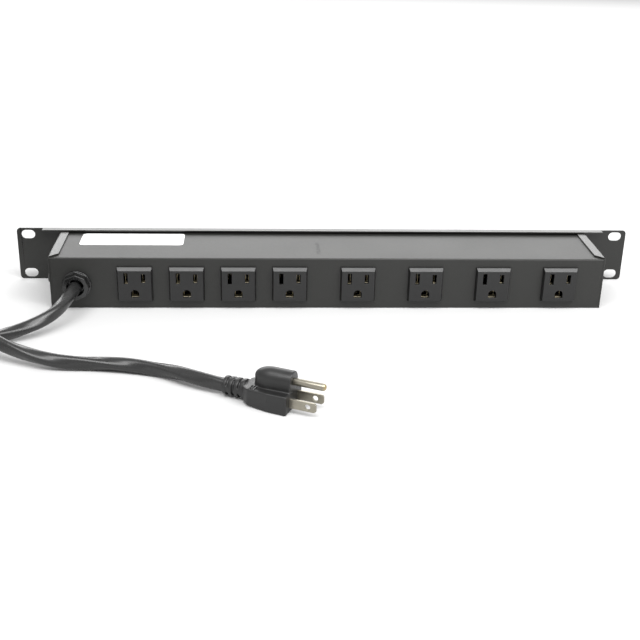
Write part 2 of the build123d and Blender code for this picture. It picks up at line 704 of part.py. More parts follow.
def cord_coil():
    """The outer shape of the wound cord, with the two stretches that lead in and out."""
    axis = Axis((*COIL_CENTRE, 0), (0, 0, 1))
    ring = revolve(coil_section(0), axis, 360)
    ends = ((COIL_IN_ANGLE, COIL_IN_Z, -COIL_STUB), (COIL_OUT_ANGLE, COIL_OUT_Z, COIL_STUB))
    for angle, z, length in ends:
        spot, heading = coil_spot(angle, z)
        path = Line(spot, on_plan(spot, heading, length))
        ring += sweep(Plane(path @ 0, z_dir=path % 0) * Circle(CORD_D / 2), path)
    return ring


def coil_tie():
    axis = Axis((*COIL_CENTRE, 0), (0, 0, 1))
    band = revolve(coil_section(TIE_T) - coil_section(0), axis, TIE_SPAN)
    middle = Pos(*COIL_CENTRE, 0)
    return middle * Rot(0, 0, TIE_ANGLE) * middle.inverse() * band


def supply_route():
    """From the bushing, down to the surface and to the coil."""
    spot, heading = coil_spot(COIL_IN_ANGLE, COIL_IN_Z)
    end = on_plan(spot, heading, -COIL_STUB)
    return [
        (GLAND_X, JACKET_END_Y, GLAND_Z),
        (GLAND_X, REAR_Y - GLAND_OUT - CORD_STRAIGHT, GLAND_Z),
        (-194.6, -68.9, LIE_Z + 9.1),
        (-212.0, -86.5, LIE_Z + 3.2),
        on_plan(end, heading, -25.0),
        end,
    ]


def plug_route():
    """From the coil, over the first stretch, and along the surface to the plug."""
    spot, heading = coil_spot(COIL_OUT_ANGLE, COIL_OUT_Z)
    start = on_plan(spot, heading, COIL_STUB)
    relief = (*RELIEF_START, PLUG_AXIS_Z)
    return [
        start,
        on_plan(start, heading, 25.0),
        (-214.5, -126.0, LIE_Z + 5.5),
        (-190.0, -134.0, LIE_Z + 0.8),
        (-163.0, -135.5, LIE_Z),
        (-135.5, -138.5, LIE_Z),
        (-111.5, -147.5, LIE_Z + 0.5),
        on_plan(relief, PLUG_TURN, -20.0),
        relief,
    ]


# ------------------------------------------------------------------------ plug


def at_plug(shape):
    """Moves a shape from the plug's own frame, which starts where the cord goes in."""
    return Pos(*RELIEF_START, 0) * Rot(0, 0, PLUG_TURN) * shape


def plug_body():
    """The moulded body, lying on its flat side with the ground barrel on top."""
    relief = Cone(RELIEF_D / 2, RELIEF_D / 2 + RELIEF_GROWS, RELIEF_L)
    body = Pos(RELIEF_L / 2, 0, PLUG_AXIS_Z) * Rot(0, 90, 0) * relief
    for i in range(RELIEF_GROOVES):
        x = around(RELIEF_L * (i + 1) / (RELIEF_GROOVES + 1), GROOVE_W)
        ring = rod_x(x, 0, PLUG_AXIS_Z, 2 * RELIEF_D)
        body -= ring - rod_x(x, 0, PLUG_AXIS_Z, RELIEF_D - GROOVE_DEPTH)
    round_d = RELIEF_D + 2 * RELIEF_GROWS
    turned = Plane((RELIEF_L, 0, PLUG_AXIS_Z), x_dir=(0, 1, 0), z_dir=(1, 0, 0))
    seat = RectangleRounded(PLUG_BODY_W, PLUG_BODY_H, PLUG_CORNER_R)
    start = turned * RectangleRounded(round_d, PLUG_BODY_H - 2, PLUG_BODY_H / 2 - 1.5)
    body += loft([start, turned.offset(NECK_L) * seat])
    body += extrude(turned.offset(NECK_L) * seat, PLUG_BODY_L)
    barrel_z = PLUG_AXIS_Z + GROUND_DROP
    barrel_x = (PLUG_BACK_L - PLUG_BARREL_L, PLUG_BACK_L)
    barrel = rod_x(barrel_x, 0, barrel_z, PLUG_BARREL_D)
    barrel = fillet(barrel.edges().group_by(Axis.X)[0], PLUG_CORNER_R)
    web = block(barrel_x, around(0, PLUG_BARREL_D), (PLUG_BODY_H / 2, barrel_z))
    body += barrel + web
    for cut in plug_metal():
        body -= cut
    return at_plug(body)


def plug_metal():
    """The two blades and the ground pin, in the plug's own frame."""
    x = (PLUG_BACK_L - BLADE_ROOT, PLUG_BACK_L + BLADE_L)
    made = []
    for side in (-1, 1):
        blade = block(x, around(side * BLADE_PITCH / 2, BLADE_T), around(PLUG_AXIS_Z, BLADE_W))
        tip = blade.edges().filter_by(Axis.Y).group_by(Axis.X)[-1]
        blade = chamfer(tip, 1.2)
        hole = Pos(x[1] - BLADE_HOLE_FROM_TIP, side * BLADE_PITCH / 2, PLUG_AXIS_Z)
        made.append(blade - hole * Rot(90, 0, 0) * Cylinder(BLADE_HOLE_D / 2, 2 * BLADE_T))
    pin_z = PLUG_AXIS_Z + GROUND_DROP
    pin = rod_x((PLUG_BACK_L, PLUG_BACK_L + PIN_L), 0, pin_z, PIN_D)
    pin = fillet(pin.edges().group_by(Axis.X)[-1], PIN_D * 0.45)
    made.append(pin + rod_x((PLUG_BACK_L - BLADE_ROOT, PLUG_BACK_L), 0, pin_z, PIN_ROOT_D))
    return made


# --------------------------------------------------------------------- writing


def all_nodes():
    supply, supply_length = tube(supply_route(), CORD_D)
    to_plug, plug_length = tube(plug_route(), CORD_D)
    for name, route in (("supply", supply_route()), ("plug", plug_route())):
        print(name, "arc radii:", [round(r, 1) for r in corner_radii(route)])
    turns = (COIL_IN_ANGLE - COIL_OUT_ANGLE) % 360 / 360 + COIL_WHOLE_TURNS
    wound = turns * 2 * math.pi * COIL_RADIUS
    free = supply_length + plug_length + wound + 2 * COIL_STUB
    print("free cord", round(free), "turns", round(turns, 2))
    section = math.pi * CORD_D**2 / 4
    for name, solid, length in (("supply", supply, supply_length), ("plug", to_plug, plug_length)):
        print(name, "tube volume over section times length", round(solid.volume / section / length, 4))
    line_blade, neutral_blade, ground_pin = plug_metal()
    nodes = {
        "front_panel": front_panel(),
        "housing": housing(),
        "end_plate_left": end_plate(-1),
        "end_plate_right": end_plate(1),
        "panel_screws": panel_screws(),
        "side_screws": side_screws(),
        "label": label(),
        "neutral_contacts": contacts(NEUTRAL),
        "line_contacts": contacts(LINE),
        "ground_contacts": contacts(GROUND),
        "neutral_bus": bus(NEUTRAL),
        "line_bus": bus(LINE),
        "ground_bus": bus(GROUND),
        "gland_body": gland_body(),
        "gland_wedge": gland_wedge(),
        "switch_body": switch_body(),
        "switch_rocker": switch_rocker(),
        "switch_tabs": tabs(SWITCH_X, SWITCH_TAB_Y, SWITCH_TAB_L, SWITCH_TAB_W, SWITCH_TAB_Z),
        "breaker_body": breaker_body(),
        "breaker_nut": breaker_nut(),
        "breaker_button": breaker_button(),
        "breaker_tabs": tabs(BREAKER_X, BREAKER_TAB_Y, BREAKER_TAB_L, BREAKER_TAB_W, BREAKER_TAB_Z),
        "ground_stud": ground_stud(),
        "ground_nut": ground_nut(),
        "ring_terminal_supply": ring_terminal(-1, 0),
        "ring_terminal_outlets": ring_terminal(1, 1),
        "cord_supply": supply,
        "cord_coil": cord_coil(),
        "cord_to_plug": to_plug,
        "coil_tie": coil_tie(),
        "plug_body": plug_body(),
        "plug_line_blade": at_plug(line_blade),
        "plug_neutral_blade": at_plug(neutral_blade),
        "plug_ground_pin": at_plug(ground_pin),
    }
    for number, x in enumerate(OUTLET_X, start=1):
        nodes[f"receptacle_{number}"] = receptacle(x)
        nodes[f"receptacle_cap_{number}"] = receptacle_cap(x)
    return nodes | leads()


os.makedirs("parts", exist_ok=True)
for node_name, node_shape in all_nodes().items():
    export_step(node_shape, f"parts/{node_name}.step")
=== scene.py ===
"""Finish of a rack power strip: folded steel case, eight outlets, mains cord and plug.

Everything is in metres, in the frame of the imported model. X runs along the strip, +Y points
out of its front panel, and the surface that it stands on is at z = 0.
"""

from __future__ import annotations

import json
import logging
import math
from collections.abc import Iterable, Sequence
from dataclasses import dataclass, field
from enum import Enum
from typing import Any

import bmesh
import bpy
from mathutils import Matrix, Vector

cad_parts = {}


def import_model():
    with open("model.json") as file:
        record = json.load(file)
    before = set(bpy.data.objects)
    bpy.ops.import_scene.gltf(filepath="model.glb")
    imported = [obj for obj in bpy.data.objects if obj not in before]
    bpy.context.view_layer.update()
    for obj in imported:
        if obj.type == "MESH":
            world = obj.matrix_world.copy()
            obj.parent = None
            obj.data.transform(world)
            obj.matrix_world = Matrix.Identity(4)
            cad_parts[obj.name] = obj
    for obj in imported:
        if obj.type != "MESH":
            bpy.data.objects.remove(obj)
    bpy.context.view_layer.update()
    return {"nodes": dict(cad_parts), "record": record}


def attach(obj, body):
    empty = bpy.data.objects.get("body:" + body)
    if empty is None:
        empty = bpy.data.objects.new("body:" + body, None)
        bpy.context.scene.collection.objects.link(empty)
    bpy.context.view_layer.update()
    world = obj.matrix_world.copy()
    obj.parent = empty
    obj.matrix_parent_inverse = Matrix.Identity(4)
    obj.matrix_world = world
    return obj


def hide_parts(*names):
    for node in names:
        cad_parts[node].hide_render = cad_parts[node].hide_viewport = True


LOG = logging.getLogger("power_strip")
MM = 0.001
CORD_D = 9.5 * MM
PLUG_START = Vector((-74.1, -170.1, 6.5)) * MM
PLUG_TURN = math.radians(-25)


# ------------------------------------------------------------------ shader maths


class Level:
    """A number that varies over a surface. Its operators add Math nodes."""

    def __init__(self, shader: Shader, socket: bpy.types.NodeSocket) -> None:
        """Wraps one output socket of a shader."""
        self.shader = shader
        self.socket = socket

    def _math(self, operation: str, *values: Any, clamp: bool = False) -> Level:
        """Adds one Math node.

        Args:
            operation: The Math node's operation.
            values: What goes into its sockets, in order.
            clamp: Whether the result is kept from 0 to 1.

        Returns:
            The node's result.
        """
        settings = {"operation": operation, "use_clamp": clamp}
        return self.shader.node("Math", settings, dict(enumerate(values))).level()

    def __add__(self, other: float | Level) -> Level:
        """self + other."""
        return self._math("ADD", self, other)

    def __sub__(self, other: float | Level) -> Level:
        """self - other."""
        return self._math("SUBTRACT", self, other)

    def __rsub__(self, other: float | Level) -> Level:
        """other - self."""
        return self._math("SUBTRACT", other, self)

    def __mul__(self, other: float | Level) -> Level:
        """self * other."""
        return self._math("MULTIPLY", self, other)

    __radd__ = __add__
    __rmul__ = __mul__

    def rise(self, low: float, high: float) -> Level:
        """A smooth step from 0 at low to 1 at high."""
        settings = {"interpolation_type": "SMOOTHSTEP"}
        values = {"Value": self, "From Min": low, "From Max": high}
        return self.shader.node("MapRange", settings, values).level()

    def band(self, middle: float, half_width: float, blur: float) -> Level:
        """1 near a value and 0 away from it.

        Args:
            middle: The value at the band's middle.
            half_width: How far the band is full.
            blur: How far it then takes to fade.

        Returns:
            The band's strength.
        """
        away = self._math("ABSOLUTE", self - middle)
        return 1 - away.rise(half_width, half_width + blur)


class Made:
    """A shader node that was just added, with its outputs."""

    def __init__(self, shader: Shader, node: bpy.types.Node) -> None:
        """Wraps one node of a shader."""
        self.shader = shader
        self.node = node

    def out(self, name: str | int = 0) -> bpy.types.NodeSocket:
        """One output socket by name or number."""
        return self.node.outputs[name]

    def level(self, name: str | int = 0) -> Level:
        """One output as a number that can be worked with."""
        return Level(self.shader, self.out(name))


class Shader:
    """A material's node tree, filled through one method."""

    def __init__(self, name: str) -> None:
        """Starts an empty material with that name."""
        self.material = bpy.data.materials.new(name)
        self.material.use_nodes = True
        self.material.node_tree.nodes.clear()
        self.place = self.node("TexCoord").out("Object")

    def node(
        self,
        kind: str,
        settings: dict[str, Any] | None = None,
        values: dict[Any, Any] | None = None,
    ) -> Made:
        """Adds one node.

        Args:
            kind: The node's type, without its ShaderNode prefix.
            settings: The node's own properties, which are set first.
            values: Numbers, colours, levels or links for its input sockets.

        Returns:
            The node.
        """
        tree = self.material.node_tree
        prefixed = kind if kind.startswith("ShaderNode") else "ShaderNode" + kind
        node = tree.nodes.new(prefixed)
        for name, value in (settings or {}).items():
            setattr(node, name, value)
        for name, value in (values or {}).items():
            socket = node.inputs[name]
            if isinstance(value, Level):
                tree.links.new(value.socket, socket)
            elif isinstance(value, bpy.types.NodeSocket):
                tree.links.new(value, socket)
            else:
                socket.default_value = value
        return Made(self, node)

    def turned(self, origin: Vector, turn: float, stretch: Sequence[float]) -> bpy.types.NodeSocket:
        """Object coordinates seen from a place that is turned about Z, then stretched.

        Args:
            origin: The place that becomes zero.
            turn: The place's own turn about Z, in radians.
            stretch: What each coordinate is multiplied by.

        Returns:
            The vector socket.
        """
        values = {"Vector": self.place, "Location": origin, "Rotation": (0, 0, turn)}
        seen = self.node("Mapping", {"vector_type": "TEXTURE"}, values).out()
        values = {0: seen, 1: tuple(stretch)}
        return self.node("VectorMath", {"operation": "MULTIPLY"}, values).out()

    def noise(self, scale: float, detail: float = 2.0, vector: Any = None) -> Level:
        """Noise from 0 to 1 with that many features to the metre."""
        values = {"Vector": vector or self.place, "Scale": scale, "Detail": detail}
        return self.node("TexNoise", None, values).level()

    def axes(self, vector: Any = None) -> list[Level]:
        """The three coordinates of a vector, of the piece's own place if none is given."""
        made = self.node("SeparateXYZ", None, {0: vector or self.place})
        return [made.level(i) for i in range(3)]

    def tint(self, amount: Level, low: Any, high: Any) -> bpy.types.NodeSocket:
        """A colour between two others."""
        settings = {"data_type": "RGBA", "clamp_factor": True}
        values = {"Factor": amount, 6: colour_of(low), 7: colour_of(high)}
        return self.node("Mix", settings, values).out(2)

    def bump(self, height: Level, strength: float, distance: float) -> bpy.types.NodeSocket:
        """A normal from a height."""
        values = {"Height": height, "Strength": strength, "Distance": distance}
        return self.node("Bump", None, values).out()

    def finish(self, **values: Any) -> bpy.types.Material:
        """Adds the surface itself.

        Args:
            values: The surface's sockets, with underscores for spaces.

        Returns:
            The material.
        """
        named = {name.replace("_", " "): value for name, value in values.items()}
        surface = self.node("BsdfPrincipled", None, named).out()
        self.node("OutputMaterial", None, {"Surface": surface})
        return self.material


def colour_of(value: Any) -> Any:
    """Four numbers for a grey or for three numbers, and anything else as it is."""
    if isinstance(value, float):
        return (value, value, value, 1)
    return (*value, 1) if isinstance(value, tuple) and len(value) == 3 else value


# ---------------------------------------------------------------------- finishes


@dataclass(frozen=True)
class PowderCoat:
    """Black powder coat with a fine texture, and one rub mark on the top wall."""

    name: str
    dark: tuple[float, float, float] = (0.0055, 0.0056, 0.0048)
    light: tuple[float, float, float] = (0.017, 0.0171, 0.0152)
    roughness: float = 0.40
    rub_middle: tuple[float, float] = (-8.4 * MM, -8.6 * MM)
    rub_half: tuple[float, float] = (0.5 * MM, 9.0 * MM)
    top_z: float = 39.0 * MM

    def build(self) -> bpy.types.Material:
        """The powder-coat material."""
        shader = Shader(self.name)
        grain = shader.noise(1500, 3)
        peel = shader.noise(420, 2)
        cloud = shader.noise(16, 3)
        speck = shader.noise(2600, 1).rise(0.60, 0.72)
        shade = shader.tint(grain * 0.5 + cloud * 0.3 + speck * 0.35, self.dark, self.light)
        x, y, z = shader.axes()
        drift = (shader.noise(120, 2) - 0.5) * (3 * MM)
        rub = (x + drift).band(self.rub_middle[0], self.rub_half[0], 1.6 * MM)
        rub = rub * y.band(self.rub_middle[1], self.rub_half[1], 6 * MM)
        rub = rub * z.rise(self.top_z, self.top_z + 0.4 * MM) * shader.noise(600, 2).rise(0.3, 0.6)
        shade = shader.tint(rub * 0.75, shade, (0.012, 0.012, 0.013))
        roughness = self.roughness + grain * 0.14 + cloud * 0.08 + rub * 0.12
        normal = shader.bump(grain + peel * 0.9, 0.42, 0.13 * MM)
        return shader.finish(
            Base_Color=shade, Roughness=roughness, Normal=normal, IOR=1.52
        )


@dataclass(frozen=True)
class Moulding:
    """A moulded plastic with a fine grain."""

    name: str
    dark: float = 0.006
    light: float = 0.012
    roughness: float = 0.40
    grain_scale: float = 1900
    grain_depth: float = 0.05 * MM
    coat: float = 0.0

    def build(self) -> bpy.types.Material:
        """The plastic's material."""
        shader = Shader(self.name)
        grain = shader.noise(self.grain_scale, 2)
        flow = shader.noise(55, 3)
        handled = shader.noise(190, 4).rise(0.52, 0.80)
        shade = shader.tint(flow * 0.6 + grain * 0.3, self.dark, self.light)
        roughness = self.roughness + grain * 0.10 + flow * 0.06 - handled * 0.07
        normal = shader.bump(grain + flow * 0.5, 0.25, self.grain_depth)
        return shader.finish(
            Base_Color=shade,
            Roughness=roughness,
            Normal=normal,
            IOR=1.5,
            Coat_Weight=self.coat,
            Coat_Roughness=0.25,
        )


@dataclass(frozen=True)
class BareMetal:
    """A plated or bare metal, drawn along one direction."""

    name: str
    dark: tuple[float, float, float]
    light: tuple[float, float, float]
    roughness: float = 0.24
    turn: float = 0.0
    worn_from: float | None = None

    def build(self) -> bpy.types.Material:
        """The metal's material."""
        shader = Shader(self.name)
        drawn = shader.turned(PLUG_START, self.turn, (60, 2200, 2200))
        lines = shader.noise(1.0, 2, drawn)
        stain = shader.noise(260, 4)
        shade = shader.tint(lines * 0.5 + stain * 0.5, self.dark, self.light)
        if self.worn_from is not None:
            along = shader.axes(shader.turned(PLUG_START, self.turn, (1, 1, 1)))[0]
            worn = along.rise(self.worn_from, self.worn_from + 2.5 * MM)
            worn = worn * (shader.noise(420, 3).rise(0.25, 0.6) * 0.7 + 0.3)
            shade = shader.tint(worn, shade, (0.44, 0.33, 0.15))
        roughness = self.roughness + lines * 0.12 + stain * 0.12
        normal = shader.bump(lines + stain * 0.3, 0.15, 0.03 * MM)
        return shader.finish(
            Base_Color=shade, Roughness=roughness, Normal=normal, Metallic=1.0
        )


@dataclass(frozen=True)
class Jacket:
    """The cord's rubbery jacket, a little dusty and handled."""

    name: str
    dark: float = 0.008
    light: float = 0.022

    def build(self) -> bpy.types.Material:
        """The jacket's material."""
        shader = Shader(self.name)
        grain = shader.noise(1300, 3)
        dust = shader.noise(70, 4)
        smear = shader.noise(240, 3).rise(0.45, 0.75)
        shade = shader.tint(dust * 0.55 + grain * 0.35, self.dark, self.light)
        roughness = 0.20 + dust * 0.12 + grain * 0.08 - smear * 0.06
        normal = shader.bump(grain + dust * 0.6, 0.28, 0.07 * MM)
        return shader.finish(Base_Color=shade, Roughness=roughness, Normal=normal, IOR=1.5)


@dataclass(frozen=True)
class Paper:
    """The blank label's coated paper."""

    name: str

    def build(self) -> bpy.types.Material:
        """The label's material."""
        shader = Shader(self.name)
        fibre = shader.noise(2400, 3)
        cloud = shader.noise(45, 2)
        shade = shader.tint(fibre * 0.5 + cloud * 0.4, (0.80, 0.80, 0.79), (0.87, 0.87, 0.865))
        normal = shader.bump(fibre + cloud * 2, 0.12, 0.03 * MM)
        roughness = 0.34 + fibre * 0.12
        return shader.finish(Base_Color=shade, Roughness=roughness, Normal=normal)


@dataclass(frozen=True)
class Insulation:
    """The soft coloured insulation of an inner wire."""

    name: str
    dark: tuple[float, float, float]
    light: tuple[float, float, float]

    def build(self) -> bpy.types.Material:
        """The insulation's material."""
        shader = Shader(self.name)
        cloud = shader.noise(130, 3)
        fine = shader.noise(1500, 2)
        shade = shader.tint(cloud * 0.7 + fine * 0.2, self.dark, self.light)
        normal = shader.bump(fine + cloud, 0.15, 0.05 * MM)
        return shader.finish(Base_Color=shade, Roughness=0.42 + cloud * 0.1, Normal=normal)


class Finish(Enum):
    """Every finish of the strip. A member's name is the record's slot in capitals."""

    BLACK_POWDER_COAT = PowderCoat("powder_coat")
    SMOOTH_COAT = PowderCoat("powder_coat_smooth", roughness=0.24)
    OUTLET_BLACK = Moulding("outlet_plastic", 0.004, 0.009, 0.27)
    BUSHING_BLACK = Moulding("bushing_plastic", 0.002, 0.005, 0.07, 1500, 0.015 * MM, 0.5)
    CORD_BLACK = Jacket("cord_jacket")
    PLUG_BLACK = Moulding("plug_plastic", 0.005, 0.012, 0.34, 1500, 0.08 * MM)
    BRASS = BareMetal("contact_brass", (0.55, 0.48, 0.33), (0.78, 0.71, 0.54), 0.36)
    NICKEL = BareMetal(
        "nickel_plate", (0.22, 0.205, 0.17), (0.40, 0.375, 0.31), 0.26, PLUG_TURN, 66 * MM
    )
    ZINC_STEEL = BareMetal("zinc_plate", (0.48, 0.49, 0.51), (0.68, 0.69, 0.71), 0.34)
    SCREW_BLACK = Moulding("screw_oxide", 0.008, 0.016, 0.24, 1700, 0.03 * MM)
    LABEL_WHITE = Paper("label_paper")
    CONTROL_BLACK = Moulding("control_plastic", 0.006, 0.011, 0.22, 1800, 0.03 * MM)
    MARK_WHITE = Paper("mark_paint")
    TIE_BLACK = Moulding("tie_webbing", 0.008, 0.020, 0.62, 1100, 0.2 * MM)
    WIRE_BLACK = Insulation("insulation_black", (0.015, 0.015, 0.016), (0.03, 0.03, 0.031))
    WIRE_WHITE = Insulation("insulation_white", (0.62, 0.61, 0.58), (0.78, 0.77, 0.74))
    WIRE_GREEN = Insulation("insulation_green", (0.02, 0.17, 0.06), (0.04, 0.27, 0.10))

    def material(self) -> bpy.types.Material:
        """This finish's material, built the first time that it is asked for."""
        return bpy.data.materials.get(self.value.name) or self.value.build()


# ---------------------------------------------------------------- shared making


def along_x(start: float, length: float) -> Matrix:
    """Places a shape that is made along Z, and centred, along X from a start."""
    return Matrix.Translation((start + length / 2, 0, 0)) @ Matrix.Rotation(math.pi / 2, 4, "Y")


def box_at(size: Sequence[float], middle: Sequence[float]) -> Matrix:
    """Turns a unit cube into a box of that size at that middle."""
    return Matrix.Translation(middle) @ Matrix.Diagonal((*size, 1))


def sharp_edges(verts: Iterable[bmesh.types.BMVert], angle: float) -> list[bmesh.types.BMEdge]:
    """The edges at some corners whose two faces turn by more than an angle in radians."""
    edges = dict.fromkeys(edge for vert in verts for edge in vert.link_edges)
    return [edge for edge in edges if edge.calc_face_angle(0) > angle]


def soften(piece: bpy.types.Object, width: float, segments: int = 2, angle: float = 32) -> None:
    """Rounds a piece's sharp edges with live modifiers.

    Args:
        piece: The piece, whose own mesh is left alone.
        width: How wide each rounded edge is.
        segments: The facets across an edge.
        angle: The least turn in degrees between two faces that makes an edge sharp.
    """
    weld = piece.modifiers.new("joined", "WELD")
    weld.merge_threshold = 0.001 * MM
    flat = piece.modifiers.new("flat", "DECIMATE")
    flat.decimate_type = "DISSOLVE"
    flat.angle_limit = math.radians(0.5)
    edge = piece.modifiers.new("edges", "BEVEL")
    edge.limit_method = "ANGLE"
    edge.angle_limit = math.radians(angle)
    edge.width = width
    edge.segments = segments
    edge.profile = 0.5
    edge.material = -1
    edge.use_clamp_overlap = False
    edge.harden_normals = True


def new_piece(name: str, shape: bmesh.types.BMesh, finish: Finish) -> bpy.types.Object:
    """Turns a bmesh into an object of the scene.

    Args:
        name: The piece's name.
        shape: Its shape, which is freed.
        finish: Its finish.

    Returns:
        The object, smooth except at its sharp edges.
    """
    bmesh.ops.recalc_face_normals(shape, faces=shape.faces)
    mesh = bpy.data.meshes.new(name)
    shape.to_mesh(mesh)
    shape.free()
    mesh.shade_smooth()
    mesh.set_sharp_from_angle(angle=math.radians(40))
    mesh.materials.append(finish.material())
    piece = bpy.data.objects.new(name, mesh)
    bpy.context.collection.objects.link(piece)
    return piece


def fused(piece: bpy.types.Object, voxel: float, passes: int, place: Matrix) -> None:
    """Melts a piece's overlapping shells into one skin, smooths it and puts it in place.

    Args:
        piece: The piece, made about its own origin.
        voxel: The size of the melt's cells.
        passes: How often the skin is smoothed.
        place: Where the finished mesh goes.
    """
    melt = piece.modifiers.new("melt", "REMESH")
    melt.mode = "VOXEL"
    melt.voxel_size = voxel
    melt.use_smooth_shade = True
    ease = piece.modifiers.new("ease", "SMOOTH")
    ease.factor = 0.5
    ease.iterations = passes
    graph = bpy.context.evaluated_depsgraph_get()
    mesh = bpy.data.meshes.new_from_object(piece.evaluated_get(graph))
    piece.modifiers.clear()
    piece.data = mesh
    mesh.transform(place)


# ------------------------------------------------------------------------- case


@dataclass
class Case:
    """The folded steel parts and their screws."""

    nodes: dict[str, bpy.types.Object]
    edge: float = 0.22 * MM
    screw_edge: float = 0.12 * MM
    steel: tuple[str, ...] = ("front_panel", "housing", "end_plate_left", "end_plate_right")
    screws: tuple[str, ...] = ("panel_screws", "side_screws")
    smooth: tuple[str, ...] = ("front_panel", "end_plate_left", "end_plate_right")

    def build(self) -> None:
        """Rounds the sheets' edges and the screws' heads, and gives some sheets a smoother coat."""
        for name in self.steel:
            soften(self.nodes[name], self.edge)
        for name in self.smooth:
            for slot in self.nodes[name].material_slots:
                slot.material = Finish.SMOOTH_COAT.material()
        for name in self.screws:
            soften(self.nodes[name], self.screw_edge)
        LOG.info("case: %d steel parts and %d sets of screws", len(self.steel), len(self.screws))


@dataclass
class OutletRow:
    """The eight outlets and the contacts inside them."""

    nodes: dict[str, bpy.types.Object]
    edge: float = 0.2 * MM
    brass: tuple[str, ...] = ("neutral_contacts", "line_contacts", "ground_contacts")

    def build(self) -> None:
        """Rounds the edges of the mouldings and of the contacts."""
        outlets = [name for name in self.nodes if name.startswith("receptacle_")]
        for name in outlets:
            soften(self.nodes[name], self.edge if "cap" not in name else self.edge / 2)
        for name in self.brass:
            soften(self.nodes[name], self.edge)
        LOG.info("outlets: %d mouldings", len(outlets))


@dataclass
class Bushing:
    """The faceted cord bushing."""

    nodes: dict[str, bpy.types.Object]
    edge: float = 0.45 * MM

    def build(self) -> None:
        """Rounds the head's facets so that they catch the light."""
        soften(self.nodes["gland_body"], self.edge, 3, 20)
        LOG.info("bushing: facets rounded by %.2f mm", self.edge / MM)


@dataclass
class Controls:
    """The switch and the breaker on the front panel, with the rocker's two marks."""

    nodes: dict[str, bpy.types.Object]
    joints: list[dict[str, Any]]
    tilt: float = 9.0
    pad_out: float = 3.0 * MM
    mark_up: float = 6.4 * MM
    mark_out: float = 0.12 * MM
    mark_line: float = 0.8 * MM
    mark_size: float = 4.4 * MM

    def build(self) -> None:
        """Rounds the controls and adds the marks."""
        widths = {
            "switch_body": 0.3,
            "switch_rocker": 0.35,
            "breaker_nut": 0.25,
            "breaker_body": 0.2,
        }
        for name, width in widths.items():
            soften(self.nodes[name], width * MM)
        self.marks()
        LOG.info("controls: %d mouldings and two marks", len(widths))

    def pad(self, joint: dict[str, Any], up: int) -> Matrix:
        """The middle of one pad of the rocker, with Y out of it and Z along it.

        Args:
            joint: The rocker's joint, which holds its pivot.
            up: 1 for the upper pad and -1 for the lower one.

        Returns:
            The pad's place.
        """
        tilt = math.radians(self.tilt)
        pivot = Matrix.Translation(joint["pos_m"]) @ Matrix.Rotation(tilt, 4, "X")
        surface = Matrix.Translation((0, self.pad_out, 0)) @ Matrix.Rotation(-up * tilt, 4, "X")
        return pivot @ surface @ Matrix.Translation((0, 0, up * self.mark_up))

    def marks(self) -> None:
        """A bar and a ring, printed a little proud of the rocker's pads."""
        joint = next(j for j in self.joints if j["name"] == "rocker_tilt")
        bar = bmesh.new()
        size = (self.mark_line, self.mark_out, self.mark_size)
        bmesh.ops.create_cube(bar, size=1, matrix=self.pad(joint, 1) @ box_at(size, (0, 0, 0)))
        ring = bmesh.new()
        half = self.mark_size / 2
        flat = self.pad(joint, -1) @ Matrix.Rotation(math.pi / 2, 4, "X")
        out = Matrix.Translation((0, 0, -self.mark_out / 2))
        for radius in (half, half - self.mark_line):
            bmesh.ops.create_circle(ring, segments=40, radius=radius, matrix=flat @ out)
        wall = bmesh.ops.bridge_loops(ring, edges=ring.edges[:])["faces"]
        outwards = self.pad(joint, -1).to_3x3() @ Vector((0, self.mark_out, 0))
        raised = bmesh.ops.extrude_face_region(ring, geom=wall)["geom"]
        bmesh.ops.translate(
            ring, verts=[v for v in raised if isinstance(v, bmesh.types.BMVert)], vec=outwards
        )
        for name, shape in (("rocker_bar", bar), ("rocker_ring", ring)):
            mark = new_piece(name, shape, Finish.MARK_WHITE)
            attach(mark, "rocker")


# ------------------------------------------------------------------------- cord


